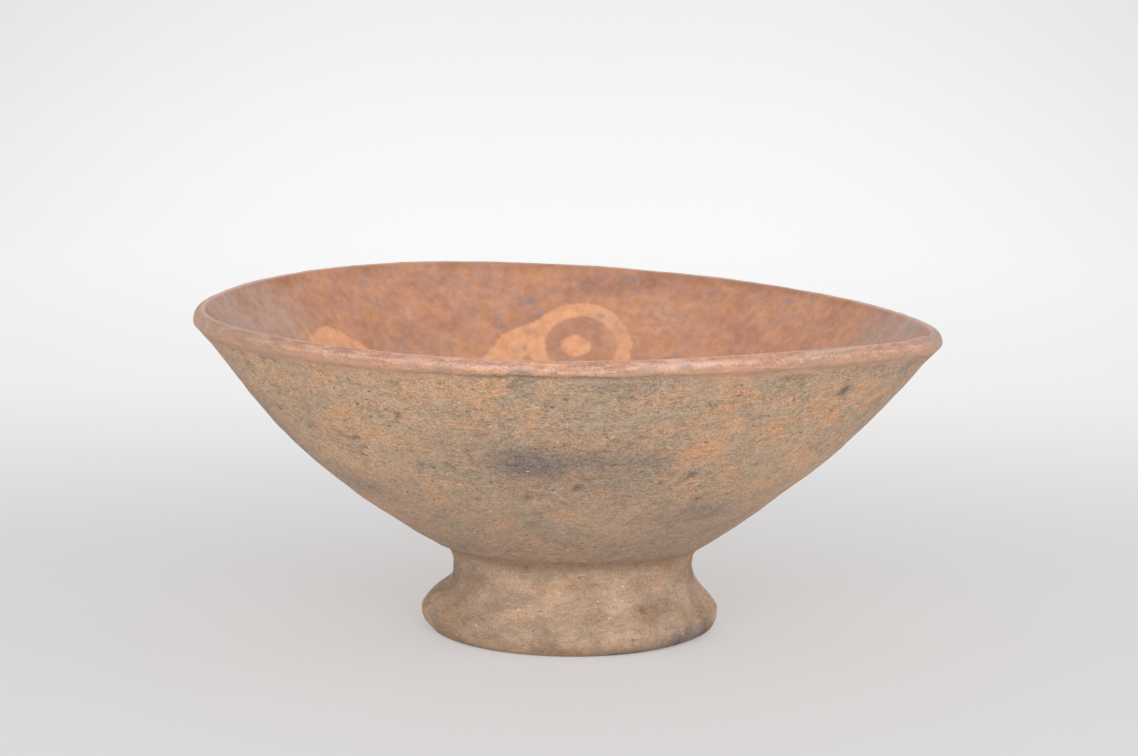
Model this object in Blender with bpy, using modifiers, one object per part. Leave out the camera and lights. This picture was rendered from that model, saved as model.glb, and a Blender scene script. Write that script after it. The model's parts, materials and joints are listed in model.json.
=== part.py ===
"""A hand-built pottery bowl on a flaring ring foot, fired in one piece.

The whole vessel is one turned profile: the inside, the rounded lip, the outside wall,
the foot, the hollow under the foot and the round underside of the bowl above it.
A turned shape is perfectly round, so the last step pushes it slightly out of true,
the way a coil-built bowl dries: the lip rises and dips and the wall leans a little.
Sizes are in metres, +Z is up, and the bowl stands on Z = 0.
"""

import math

import bpy
from mathutils import Vector

# Lip and wall of the bowl
RIM_RADIUS = 0.1100       # axis to the outermost point of the lip
RIM_HEIGHT = 0.0952       # ground to the crest of the lip, before the lip is pushed out of true
LIP_CROWN = 0.0028        # crest of the lip down to its outermost point
LIP_UNDERSIDE = 0.0012    # outermost point down to the lip's lower edge
LIP_THICKNESS = 0.0051    # across the lip, level
LIP_OVERHANG = 0.0011     # how far the lip stands out over the wall
WALL_AT_RIM = 0.0044      # wall thickness under the lip
WALL_AT_FLOOR = 0.0068    # wall thickness at the middle of the floor
BELLY = 0.0054            # how far the wall bulges from a straight line between lip and foot

# Ring foot
FOOT_RADIUS = 0.0440      # axis to the widest point of the foot
FOOT_WIDEST = 0.0059      # ground to that widest point
FOOT_EDGE = 0.0037        # how far the rounded lower edge draws in to the ground
NECK_RADIUS = 0.0356      # narrowest place, where the foot meets the bowl
NECK_HEIGHT = 0.0201      # ground to the narrowest place
JOINT_RISE = 0.0034       # neck up to the corner between foot and bowl
JOINT_FLARE = 0.0003      # the foot opens by this much from the neck up to that corner
JOINT_HEIGHT = NECK_HEIGHT + JOINT_RISE
FLARE_EASE = 0.64         # 1 gives an even curve from neck to foot, less lets it drop sooner
FOOT_WALL = 0.0070        # thickness of the foot at the neck
RING_WIDTH = 0.0045       # level ring that the bowl stands on
RING_ROUND = 0.0020       # rounding of the ring's inner edge

# Hand-made unevenness, at the rim: (waves round the rim, cosine part, sine part), in metres
LIP_RISES = ((1, -0.00274, -0.00014), (2, -0.00121, -0.00125),
             (3, -0.00015, -0.00045), (4, -0.00045, 0.00011))
RIM_SPREADS = ((1, -0.00108, 0.00014), (2, 0.00010, 0.00009))
UNEVEN_EASE = 1.6         # how much of the unevenness reaches down the wall: more keeps it higher
LEAN_AT_NECK = 0.0010     # sideways lean towards +X at the neck
LEAN_AT_THIRD = -0.0012   # the same, a third of the way up the wall
LEAN_AT_TWO_THIRDS = -0.0003

# Fineness of the solid
STEPS_ROUND = 64
FLOOR_POINTS = 5
WALL_POINTS = 12
LIP_POINTS = 4
FLARE_POINTS = 9
EDGE_POINTS = 5
RING_POINTS = 3
HOLLOW_POINTS = 5
SHARP_ANGLE = math.radians(40)

CLAY_COLOUR = (0.36, 0.235, 0.155, 1.0)
CLAY_ROUGHNESS = 0.78
QUARTER = math.pi / 2


def clear_scene():
    for obj in list(bpy.data.objects):
        bpy.data.objects.remove(obj, do_unlink=True)


def quarter(centre, start, end, count):
    """Points on a quarter ellipse about centre, from start towards end, without start itself."""
    centre, start, end = Vector(centre), Vector(start), Vector(end)
    points = []
    for i in range(1, count + 1):
        turn = QUARTER * i / count
        points.append(centre + (start - centre) * math.cos(turn) + (end - centre) * math.sin(turn))
    return points


def wall_arc(low, high, bulge):
    """The circle that runs from low to high and bulges outwards: its centre, radius and two angles."""
    chord = high - low
    half_angle = 2 * math.atan2(2 * bulge, chord.length)
    radius = chord.length / 2 / math.sin(half_angle)
    outwards = Vector((chord.y, -chord.x)).normalized()
    centre = (low + high) / 2 - outwards * (radius - bulge)
    start = math.atan2(low.y - centre.y, low.x - centre.x)
    return centre, radius, start, start + 2 * half_angle


def bowl_shell():
    """Outer points and inward normals of the bowl, from the middle of the underside to the lip."""
    joint = Vector((NECK_RADIUS + JOINT_FLARE, JOINT_HEIGHT))
    under_lip = Vector((RIM_RADIUS - LIP_OVERHANG, RIM_HEIGHT - LIP_CROWN - LIP_UNDERSIDE))
    centre, radius, start, end = wall_arc(joint, under_lip, BELLY)
    slope = math.tan(start + QUARTER)
    middle_height = joint.y - slope * joint.x / 2
    shell = []
    for i in range(FLOOR_POINTS):
        r = joint.x * i / FLOOR_POINTS
        lean = math.atan(slope * r / joint.x)
        point = Vector((r, middle_height + slope * r * r / (2 * joint.x)))
        shell.append((point, Vector((-math.sin(lean), math.cos(lean)))))
    for i in range(WALL_POINTS + 1):
        angle = start + (end - start) * i / WALL_POINTS
        spoke = Vector((math.cos(angle), math.sin(angle)))
        shell.append((centre + radius * spoke, -spoke))
    return shell


def inside_line(shell):
    """The inner face: the shell moved in by a wall that thins evenly from floor to lip."""
    last = len(shell) - 1
    line = []
    for i, (point, inwards) in enumerate(shell):
        wall = WALL_AT_FLOOR + (WALL_AT_RIM - WALL_AT_FLOOR) * i / last
        line.append(point + inwards * wall)
    return line


def lip_line(inner_end, steepness):
    """From the top of the inner face over the crest to the lip's lower edge."""
    crest = Vector((RIM_RADIUS - LIP_THICKNESS / 2, RIM_HEIGHT))
    widest = Vector((RIM_RADIUS, crest.y - LIP_CROWN))
    lower = Vector((RIM_RADIUS - LIP_OVERHANG, widest.y - LIP_UNDERSIDE))
    corner = Vector((inner_end.x + (crest.y - inner_end.y) / math.tan(steepness), crest.y))
    line = []
    for i in range(1, LIP_POINTS + 1):
        t = i / LIP_POINTS
        line.append(inner_end * (1 - t) ** 2 + corner * 2 * t * (1 - t) + crest * t ** 2)
    line += quarter((crest.x, widest.y), crest, widest, LIP_POINTS)
    line += quarter((lower.x, widest.y), widest, lower, LIP_POINTS - 1)
    return line


def flare_radius(height):
    """Outside radius of the foot between its widest place and the neck."""
    share = (height - FOOT_WIDEST) / (NECK_HEIGHT - FOOT_WIDEST)
    swing = 0.5 * (1 + math.cos(math.pi * max(share, 0.0) ** FLARE_EASE))
    return NECK_RADIUS + (FOOT_RADIUS - NECK_RADIUS) * swing


def foot_line():
    """Down the outside of the foot, across the ring, to the ring's rounded inner edge."""
    line = []
    for i in range(FLARE_POINTS + 1):
        height = NECK_HEIGHT + (FOOT_WIDEST - NECK_HEIGHT) * i / FLARE_POINTS
        line.append(Vector((flare_radius(height), height)))
    ring_outer = FOOT_RADIUS - FOOT_EDGE
    line += quarter((ring_outer, FOOT_WIDEST), line[-1], (ring_outer, 0), EDGE_POINTS)
    ring_inner = ring_outer - RING_WIDTH
    line.append(Vector((ring_inner, 0)))
    line += quarter((ring_inner, RING_ROUND), line[-1], (ring_inner - RING_ROUND, RING_ROUND), RING_POINTS)
    return line


def hollow_line(foot_end, shell):
    """Up the inside of the foot, from the ring to the bowl's underside."""
    top_radius = NECK_RADIUS - FOOT_WALL
    underside = [point for point, _ in shell]
    joint, middle = underside[FLOOR_POINTS], underside[0]
    ceiling = middle.y + (joint.y - middle.y) * (top_radius / joint.x) ** 2
    line = []
    for i in range(1, HOLLOW_POINTS + 1):
        share = i / HOLLOW_POINTS
        swing = 0.5 * (1 + math.cos(math.pi * share))
        height = foot_end.y + (ceiling - foot_end.y) * share
        line.append(Vector((top_radius + (foot_end.x - top_radius) * swing, height)))
    inner_points = [p for p in underside[:FLOOR_POINTS] if p.x < top_radius - RING_ROUND]
    return line + inner_points[::-1]


def vessel_profile():
    """The closed outline on one side of the axis, run so that its faces point out when it turns."""
    shell = bowl_shell()
    inner = inside_line(shell)
    _, inwards = shell[-1]
    steepness = math.atan2(-inwards.x, inwards.y)
    outer_wall = [point for point, _ in shell[FLOOR_POINTS:-1]]
    foot = foot_line()
    return inner + lip_line(inner[-1], steepness) + outer_wall[::-1] + foot + hollow_line(foot[-1], shell)


def turned_mesh(profile):
    """The profile turned once round the Z axis, as a plain mesh."""
    outline = bpy.data.meshes.new("outline")
    points = [(p.x, 0.0, p.y) for p in profile]
    outline.from_pydata(points, [(i, i + 1) for i in range(len(points) - 1)], [])
    turner = bpy.data.objects.new("turner", outline)
    bpy.context.scene.collection.objects.link(turner)
    screw = turner.modifiers.new("turn", "SCREW")
    screw.axis = "Z"
    screw.steps = STEPS_ROUND
    screw.render_steps = STEPS_ROUND
    screw.use_merge_vertices = True
    screw.merge_threshold = 0.00005
    graph = bpy.context.evaluated_depsgraph_get()
    mesh = bpy.data.meshes.new_from_object(turner.evaluated_get(graph))
    bpy.data.objects.remove(turner, do_unlink=True)
    return mesh


def waves(parts, angle):
    return sum(c * math.cos(n * angle) + s * math.sin(n * angle) for n, c, s in parts)


def lean(height):
    """Sideways lean of the vessel at a height, eased between its named places."""
    wall = RIM_HEIGHT - JOINT_HEIGHT
    places = ((0.0, 0.0), (NECK_HEIGHT, LEAN_AT_NECK), (JOINT_HEIGHT + wall / 3, LEAN_AT_THIRD),
              (JOINT_HEIGHT + wall * 2 / 3, LEAN_AT_TWO_THIRDS), (RIM_HEIGHT, 0.0))
    for (z0, x0), (z1, x1) in zip(places, places[1:]):
        if height <= z1:
            share = (height - z0) / (z1 - z0)
            return x0 + (x1 - x0) * share * share * (3 - 2 * share)
    return 0.0


def push_out_of_true(mesh):
    """Moves each point as the hand-built wall moved: more towards the lip, nothing on the ground."""
    for vertex in mesh.vertices:
        x, y, z = vertex.co
        radius, angle = math.hypot(x, y), math.atan2(y, x)
        share = min(max((z - JOINT_HEIGHT) / (RIM_HEIGHT - JOINT_HEIGHT), 0.0), 1.0) ** UNEVEN_EASE
        share *= min(radius / NECK_RADIUS, 1.0)
        radius += share * waves(RIM_SPREADS, angle)
        vertex.co = (radius * math.cos(angle) + lean(z), radius * math.sin(angle),
                     z + share * waves(LIP_RISES, angle))


def stand_on_origin(mesh):
    """Moves the mesh so that the middle of its bounding box's underside is the origin."""
    low = Vector([min(v.co[i] for v in mesh.vertices) for i in range(3)])
    high = Vector([max(v.co[i] for v in mesh.vertices) for i in range(3)])
    middle = (low + high) / 2
    for vertex in mesh.vertices:
        vertex.co -= Vector((middle.x, middle.y, low.z))


def fired_clay():
    clay = bpy.data.materials.new("fired_clay")
    clay.use_nodes = True
    shader = clay.node_tree.nodes["Principled BSDF"]
    shader.inputs["Base Color"].default_value = CLAY_COLOUR
    shader.inputs["Roughness"].default_value = CLAY_ROUGHNESS
    shader.inputs["Metallic"].default_value = 0.0
    return clay


def make_bowl():
    mesh = turned_mesh(vessel_profile())
    mesh.name = "pedestal_bowl"
    push_out_of_true(mesh)
    stand_on_origin(mesh)
    mesh.shade_smooth()
    mesh.set_sharp_from_angle(angle=SHARP_ANGLE)
    mesh.materials.append(fired_clay())
    bowl = bpy.data.objects.new("pedestal_bowl", mesh)
    collection = bpy.data.collections.new("pottery_bowl")
    bpy.context.scene.collection.children.link(collection)
    collection.objects.link(bowl)
    return bowl


clear_scene()
make_bowl()
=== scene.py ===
# %% [markdown]
# # A slipped and painted footed bowl
#
# The object is one hand-built earthenware bowl on a flaring ring foot. The solid model already
# fixes its size and shape, and it is loaded here as a frame that never moves. This lesson gives
# the bowl its real surface: a finer body with the dents, wiping marks and pits of a vessel shaped
# by hand, and one fired-clay material that holds the bare clay, the red slip, the painted circles,
# the fire clouds and the dirt of a long burial.

# %% Load the frame
import json
import math

import bpy
import numpy as np
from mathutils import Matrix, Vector, noise

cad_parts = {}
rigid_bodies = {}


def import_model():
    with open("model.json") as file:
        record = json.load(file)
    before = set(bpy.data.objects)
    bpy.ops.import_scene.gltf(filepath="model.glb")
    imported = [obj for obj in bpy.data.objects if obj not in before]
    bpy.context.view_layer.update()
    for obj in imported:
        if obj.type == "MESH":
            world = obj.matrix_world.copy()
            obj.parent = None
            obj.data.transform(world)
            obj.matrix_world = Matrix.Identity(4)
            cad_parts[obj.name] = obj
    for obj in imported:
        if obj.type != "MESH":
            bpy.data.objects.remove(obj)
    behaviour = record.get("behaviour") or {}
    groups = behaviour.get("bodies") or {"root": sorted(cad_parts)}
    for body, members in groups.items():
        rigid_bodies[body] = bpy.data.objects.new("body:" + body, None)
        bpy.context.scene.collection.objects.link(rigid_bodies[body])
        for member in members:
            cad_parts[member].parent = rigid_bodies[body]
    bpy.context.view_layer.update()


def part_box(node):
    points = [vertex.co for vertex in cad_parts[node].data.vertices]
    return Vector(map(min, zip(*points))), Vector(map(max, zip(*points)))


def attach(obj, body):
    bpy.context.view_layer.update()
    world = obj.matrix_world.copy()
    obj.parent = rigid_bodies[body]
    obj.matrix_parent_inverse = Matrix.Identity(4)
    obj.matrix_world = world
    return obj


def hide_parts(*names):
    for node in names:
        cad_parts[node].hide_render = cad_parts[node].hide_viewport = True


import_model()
low_corner, high_corner = (Vector(corner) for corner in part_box("pedestal_bowl"))
print("the bowl's box in millimetres:", [round(v * 1000, 1) for v in high_corner - low_corner])

# %% [markdown]
# ## The camera
#
# The photograph looks slightly down on the bowl from less than a metre away, with a long lens.
# The long lens matters as much as the place: the ring foot shows a rounder ellipse than the lip
# does, and only a camera this near gives both. The picture is turned by half a degree.

# %% Camera
CAMERA_PLACE = (0.0010, -0.8251, 0.2023)
CAMERA_AIM = (0.0004, 0.0, 0.0746)
CAMERA_ROLL = math.radians(0.488)
PICTURE_WIDTH = 1138          # pixels
FOCAL_PIXELS = 2809.7         # focal length measured in those pixels
SENSOR_WIDTH = 36.0           # millimetres


def look_at(place, aim):
    """The turn that points -Z from place to aim, with Y upwards."""
    return (Vector(aim) - Vector(place)).to_track_quat("-Z", "Y").to_euler()


bpy.ops.object.camera_add(location=CAMERA_PLACE, rotation=look_at(CAMERA_PLACE, CAMERA_AIM))
camera = bpy.context.object
camera.rotation_euler.rotate_axis("Z", CAMERA_ROLL)
camera.data.sensor_width = SENSOR_WIDTH
camera.data.lens = FOCAL_PIXELS / PICTURE_WIDTH * SENSOR_WIDTH
camera.data.clip_start = 0.05
bpy.context.scene.camera = camera
print("lens in millimetres:", round(camera.data.lens, 1))

# %% [markdown]
# ## The profile of the pot
#
# A bowl of this kind is built from coils on a slow support, so it is nearly a turned shape. The
# quickest way to its body is a profile that is spun round the upright axis. The profile below is
# worked out from the same few sizes as the solid model: a wall that is part of a circle, a lip of
# two quarter ellipses, a foot that flares along half a cosine wave, and a hollow under it.
# The points lie closer together where the curve is tight.

# %% Sizes of the profile, in metres
RIM_RADIUS = 0.1100
RIM_HEIGHT = 0.0952
LIP_CROWN = 0.0028
LIP_UNDERSIDE = 0.0012
LIP_THICKNESS = 0.0051
LIP_OVERHANG = 0.0011
WALL_AT_RIM = 0.0044
WALL_AT_FLOOR = 0.0068
BELLY = 0.0054
FOOT_RADIUS = 0.0440
FOOT_WIDEST = 0.0059
FOOT_EDGE = 0.0037
NECK_RADIUS = 0.0356
NECK_HEIGHT = 0.0201
JOINT_HEIGHT = NECK_HEIGHT + 0.0034
JOINT_FLARE = 0.0003
FLARE_EASE = 0.64
FOOT_WALL = 0.0070
RING_WIDTH = 0.0045
RING_ROUND = 0.0020
QUARTER = math.pi / 2

WALL_POINTS = 70
FLOOR_POINTS = 20
LIP_POINTS = 8
FLARE_POINTS = 18
EDGE_POINTS = 9
HOLLOW_POINTS = 11
JOINT_PASSES = 8              # how often the seam of bowl and foot is smeared over
JOINT_REACH = 4               # profile points on each side of the seam that are smeared


def quarter(centre, start, end, count):
    """Points on a quarter ellipse about centre, from start towards end, without start itself."""
    centre, start, end = Vector(centre), Vector(start), Vector(end)
    turns = [QUARTER * i / count for i in range(1, count + 1)]
    return [centre + (start - centre) * math.cos(t) + (end - centre) * math.sin(t) for t in turns]


def bowl_shell():
    """Outer points and inward normals of the bowl, from the middle of the underside to the lip."""
    joint = Vector((NECK_RADIUS + JOINT_FLARE, JOINT_HEIGHT))
    under_lip = Vector((RIM_RADIUS - LIP_OVERHANG, RIM_HEIGHT - LIP_CROWN - LIP_UNDERSIDE))
    chord = under_lip - joint
    half_angle = 2 * math.atan2(2 * BELLY, chord.length)
    radius = chord.length / 2 / math.sin(half_angle)
    outwards = Vector((chord.y, -chord.x)).normalized()
    centre = (joint + under_lip) / 2 - outwards * (radius - BELLY)
    start = math.atan2(joint.y - centre.y, joint.x - centre.x)
    slope = math.tan(start + QUARTER)
    shell = []
    for i in range(FLOOR_POINTS):
        share = i / FLOOR_POINTS
        lean = math.atan(slope * share)
        point = Vector((joint.x * share, joint.y - slope * joint.x * (1 - share * share) / 2))
        shell.append((point, Vector((-math.sin(lean), math.cos(lean)))))
    for i in range(WALL_POINTS + 1):
        angle = start + 2 * half_angle * i / WALL_POINTS
        spoke = Vector((math.cos(angle), math.sin(angle)))
        shell.append((centre + radius * spoke, -spoke))
    return shell


def lip_line(inner_end, inwards):
    """From the top of the inner face over the crest to the lip's lower edge."""
    crest = Vector((RIM_RADIUS - LIP_THICKNESS / 2, RIM_HEIGHT))
    widest = Vector((RIM_RADIUS, crest.y - LIP_CROWN))
    lower = Vector((RIM_RADIUS - LIP_OVERHANG, widest.y - LIP_UNDERSIDE))
    reach = (crest.y - inner_end.y) * inwards.y / -inwards.x
    corner = Vector((inner_end.x + reach, crest.y))
    shares = [i / LIP_POINTS for i in range(1, LIP_POINTS + 1)]
    rise = [inner_end * (1 - t) ** 2 + corner * 2 * t * (1 - t) + crest * t ** 2 for t in shares]
    over = quarter((crest.x, widest.y), crest, widest, LIP_POINTS)
    under = quarter((lower.x, widest.y), widest, lower, LIP_POINTS - 3)
    return rise, over + under


def foot_line(shell):
    """Down the outside of the foot, across the ring and up its hollow to the bowl's underside."""
    seam, neck = shell[FLOOR_POINTS][0], Vector((NECK_RADIUS, NECK_HEIGHT))
    line = [seam.lerp(neck, i / 3) for i in (1, 2)]
    for i in range(FLARE_POINTS + 1):
        share = 1 - i / FLARE_POINTS
        swing = 0.5 * (1 + math.cos(math.pi * share ** FLARE_EASE))
        height = FOOT_WIDEST + (NECK_HEIGHT - FOOT_WIDEST) * share
        line.append(Vector((NECK_RADIUS + (FOOT_RADIUS - NECK_RADIUS) * swing, height)))
    ring_outer = FOOT_RADIUS - FOOT_EDGE
    ring_inner = ring_outer - RING_WIDTH
    line += quarter((ring_outer, FOOT_WIDEST), line[-1], (ring_outer, 0), EDGE_POINTS)
    line += [Vector((ring_outer - RING_WIDTH * i / 4, 0)) for i in range(1, 5)]
    line += quarter((ring_inner, RING_ROUND), line[-1], (ring_inner - RING_ROUND, RING_ROUND), 5)
    start, top_radius = line[-1], NECK_RADIUS - FOOT_WALL
    middle, joint = shell[0][0], shell[FLOOR_POINTS][0]
    ceiling = middle.y + (joint.y - middle.y) * (top_radius / joint.x) ** 2
    for i in range(1, HOLLOW_POINTS + 1):
        share = i / HOLLOW_POINTS
        swing = 0.5 * (1 + math.cos(math.pi * share))
        height = start.y + (ceiling - start.y) * share
        line.append(Vector((top_radius + (start.x - top_radius) * swing, height)))
    underside = [point for point, _ in shell[:FLOOR_POINTS] if point.x < top_radius - RING_ROUND / 2]
    return line + underside[::-1]


shell = bowl_shell()
last = len(shell) - 1
walls = [WALL_AT_FLOOR + (WALL_AT_RIM - WALL_AT_FLOOR) * i / last for i in range(last + 1)]
inside = [point + inwards * wall for (point, inwards), wall in zip(shell, walls)]
rise, fall = lip_line(inside[-1], shell[-1][1])
outer_wall = [point for point, _ in shell[FLOOR_POINTS:-1]][::-1]
profile = inside + rise + fall + outer_wall + foot_line(shell)
crest_index = len(inside) + len(rise) - 1
joint_index = len(inside) + len(rise) + len(fall) + len(outer_wall) - 1
for _ in range(JOINT_PASSES):
    eased = [(a + 2 * b + c) / 4 for a, b, c in zip(profile, profile[1:], profile[2:])]
    nearby = range(joint_index - JOINT_REACH, joint_index + JOINT_REACH)
    for i in nearby:
        profile[i] = eased[i - 1]
steps = [0.0] + [(b - a).length for a, b in zip(profile, profile[1:])]
from_crest = np.cumsum(steps) - np.cumsum(steps)[crest_index]
print("profile points:", len(profile), "inside length in mm:", round(-from_crest[0] * 1000, 1))

# %% [markdown]
# ## Spinning the body
#
# The profile is drawn as a potter's template would be: one point is extruded step by step along
# it. Before the spin, every point is given its distance from the crest of the lip, below zero on
# the inside and above zero on the outside. The spin copies that number to every ring, so that the
# slip, the paint and the dirt can later follow the surface.

# %% Draw the profile and spin it
SPIN_STEPS = 400

bpy.ops.object.select_all(action="DESELECT")
bpy.ops.mesh.primitive_circle_add(vertices=3, radius=0.001)
bowl = bpy.context.object
bowl.name = "painted_bowl"
bowl.data.name = "painted_bowl"
bpy.ops.object.mode_set(mode="EDIT")
bpy.ops.mesh.select_all(action="SELECT")
bpy.ops.mesh.merge(type="CENTER")
bpy.ops.transform.translate(value=(profile[0].x, 0.0, profile[0].y))
for here, there in zip(profile, profile[1:]):
    step = (there.x - here.x, 0.0, there.y - here.y)
    bpy.ops.mesh.extrude_region_move(TRANSFORM_OT_translate={"value": step})
bpy.ops.object.mode_set(mode="OBJECT")
marks = bowl.data.attributes.new("from_crest", "FLOAT", "POINT")
marks.data.foreach_set("value", from_crest.astype(np.float32))

bpy.ops.object.mode_set(mode="EDIT")
bpy.ops.mesh.select_all(action="SELECT")
bpy.ops.mesh.spin(steps=SPIN_STEPS, angle=2 * math.pi, center=(0, 0, 0), axis=(0, 0, 1))
bpy.ops.mesh.select_all(action="SELECT")
bpy.ops.mesh.remove_doubles(threshold=0.00002)
bpy.ops.mesh.normals_make_consistent(inside=False)
bpy.ops.object.mode_set(mode="OBJECT")
bpy.ops.object.shade_smooth()
print("body:", len(bowl.data.vertices), "points,", len(bowl.data.polygons), "faces")

# %% [markdown]
# ## Where paint, smoke and dirt lie, measured while the bowl is still true
#
# Inside, the painter laid rings with a dot in them, and from each ring a band that sweeps down
# and rises again in a wave. They are painted in a lighter slip and have no thickness, so they
# aren't geometry. Each point of the mesh gets its distance to the edge of the nearest painted
# shape, above zero inside it. That number changes evenly over the surface, so the material can
# cut a clean, slightly wavering edge from it. Places are given as a potter would find them: how
# far round the bowl, and how far from the crest of the lip, below zero inside.

# %% Painted shapes
RING_PLACE = (87.8, -0.0318)         # degrees round from +X, metres from the crest
DOT_PLACE = (88.9, -0.0316)
DOT_HALF_WIDTH = 0.0048
DOT_HALF_HEIGHT = 0.0040
RING_INNER = 0.0117
RING_OUTER = 0.0167
BAND_HALF_WIDTH = 0.0050
BAND = ((93.0, -0.0238), (96.2, -0.0276), (99.5, -0.0298), (102.6, -0.0318), (103.6, -0.0345),
        (107.2, -0.0404), (111.0, -0.0432), (115.0, -0.0500), (120.0, -0.0545), (126.0, -0.0525),
        (132.0, -0.0460), (137.0, -0.0375), (141.0, -0.0300), (145.0, -0.0250), (148.6, -0.0268),
        (150.4, -0.0340), (151.0, -0.0450))
REPEATS = 2                          # the same painting stands on the opposite side


def on_the_wall(place, turn=0.0):
    """The point of the true inner face at so many degrees round and so far from the crest."""
    degrees, down = place
    radius = np.interp(down, from_crest[:crest_index], [p.x for p in profile[:crest_index]])
    height = np.interp(down, from_crest[:crest_index], [p.y for p in profile[:crest_index]])
    angle = math.radians(degrees) + turn
    return np.array((radius * math.cos(angle), radius * math.sin(angle), height))


def gap_to_segment(points, start, end):
    """Distance of many points from one straight piece of line."""
    along = np.clip((points - start) @ (end - start) / ((end - start) @ (end - start)), 0, 1)
    return np.linalg.norm(points - start - along[:, None] * (end - start), axis=1)


def read_points(mesh):
    points = np.empty(len(mesh.vertices) * 3, dtype=np.float32)
    mesh.vertices.foreach_get("co", points)
    return points.reshape(-1, 3).astype(float)


def write_points(mesh, points):
    mesh.vertices.foreach_set("co", points.astype(np.float32).ravel())
    mesh.update()


def read_marks(mesh, name):
    values = np.empty(len(mesh.vertices), dtype=np.float32)
    mesh.attributes[name].data.foreach_get("value", values)
    return values.astype(float)


def write_marks(mesh, name, values):
    mesh.attributes.new(name, "FLOAT", "POINT").data.foreach_set("value", values.astype(np.float32))


points = read_points(bowl.data)
azimuth = np.arctan2(points[:, 1], points[:, 0])
distance_out = np.hypot(points[:, 0], points[:, 1])
crest_gap = read_marks(bowl.data, "from_crest")
paint = np.full(len(points), -1.0)
for repeat in range(REPEATS):
    turn = 2 * math.pi * repeat / REPEATS
    aside = np.angle(np.exp(1j * (azimuth - math.radians(DOT_PLACE[0]) - turn))) * distance_out
    dot_share = np.hypot(aside / DOT_HALF_WIDTH, (crest_gap - DOT_PLACE[1]) / DOT_HALF_HEIGHT)
    paint = np.maximum(paint, np.maximum(1 - dot_share, -1) * DOT_HALF_HEIGHT)
    from_middle = np.linalg.norm(points - on_the_wall(RING_PLACE, turn), axis=1)
    paint = np.maximum(paint, np.minimum(from_middle - RING_INNER, RING_OUTER - from_middle))
    route = [on_the_wall(place, turn) for place in BAND]
    for start, end in zip(route, route[1:]):
        band = BAND_HALF_WIDTH - gap_to_segment(points, start, end)
        paint = np.maximum(paint, np.minimum(band, from_middle - RING_OUTER + BAND_HALF_WIDTH))
write_marks(bowl.data, "paint", paint)
print("painted share of the skin:", round(float((paint > 0).mean()), 3))

# %% [markdown]
# Fire and burial left softer areas: smoke clouds, patches reddened by air, a grey film at the two
# ends of the inside, rubbed places, places cut up by coarse grit during the wiping, and small
# blue-grey deposits under the rim. The wide smoke area low on the front darkens the belly above the
# crease under the bowl, as smoke and as painted shade, and the three rubbed places on the front of
# the lip are painted highlights. Each area is an ellipse on the skin that fades from its middle to
# its edge, and the material breaks it up with noise later.

# %% Smoke, reddening and deposits
# Each area: degrees round, then millimetres from the crest, half width, half height; strength.
# The entry at -90 degrees, 100 mm from the crest is smoke and painted shade over the belly above the
# crease in front.
SMOKE_AND_SHADE = ((-96, 41, 21, 12, 0.95), (-86, 40, 16, 9, 0.60), (-75.5, 39, 11, 7, 0.55),
         (-90, 44, 44, 20, 0.44), (-83, 10, 14, 4, 0.25), (-58.5, 69, 28, 11, 0.50),
         (-42.8, 17, 6, 4, 0.50), (-141, 62, 34, 16, 0.40), (-36, 130, 22, 6, 0.95),
         (-62, 131.5, 16, 4, 0.50), (-90, 100, 60, 7, 0.45), (-172, 110, 14, 14, 0.10),
         (-160, 40, 20, 36, 0.42), (-18, 4, 20, 7, 0.60), (-150, 3, 66, 7, 0.40), (-12, 2, 36, 6, 0.62),
         (-40, 9, 18, 5, 0.30), (120, 50, 34, 14, 0.80), (60, 25, 20, 9, 0.50),
         (150, 100, 24, 8, 0.50), (88, -9, 18, 8, 0.80), (112, -9, 26, 8, 0.45), (77, -6, 16, 6, 0.70),
         (128, -30, 22, 12, 0.35), (100, -24, 14, 8, 0.30),
         (-74.2, 3.5, 3.0, 1.6, 0.9), (-70.3, 4.5, 3.6, 1.4, 0.7), (-52.9, 4.8, 5.0, 1.8, 0.8),
         (-56.7, 9.5, 9.0, 2.4, 0.55), (-62.0, 6.4, 8.0, 1.6, 0.45), (-38.9, 8.0, 4.0, 3.4, 0.6),
         (-28.0, 10.2, 5.0, 4.0, 0.5), (-47.0, 2.2, 7.0, 1.4, 0.45), (-107.9, 4.6, 4.0, 1.3, 0.9),
         (-100.9, 4.6, 2.4, 1.4, 0.7), (-96.5, 4.9, 4.4, 1.6, 0.8), (-116.5, 11.0, 5.0, 2.6, 0.4),
         (-97.4, 8.9, 5.0, 2.6, 0.5), (-100.6, 16.0, 4.4, 2.0, 0.45), (-103.3, 24.0, 3.6, 3.4, 0.45))
REDDENED = ((-62.6, 19, 20, 11, 0.65), (-48, 28, 30, 17, 0.40), (-107, 12, 26, 8, 0.5),
            (-120, 56, 14, 9, 0.5), (-65, 33, 16, 8, 0.6), (-30, 24, 24, 18, 0.38),
            (-62, 7, 26, 6, 0.8), (-36, 6, 20, 5, 0.7), (-133, 30, 20, 12, 0.2), (-128, 5, 48, 6, 0.50),
            (-150, 128, 12, 6, 0.8), (-95, 112, 12, 5, 0.35), (-112, 122, 16, 7, 0.25),
            (-98, 22, 16, 9, 0.35), (-85, 26, 14, 8, 0.35),
            (30, 40, 34, 18, 0.8), (95, 30, 36, 16, 0.9))
GREY_FILM = ((170, -12, 52, 22, 0.68), (4, -5, 44, 9, 0.80), (14, -12, 36, 20, 0.55),
             (-60, -60, 40, 20, 0.5))
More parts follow.
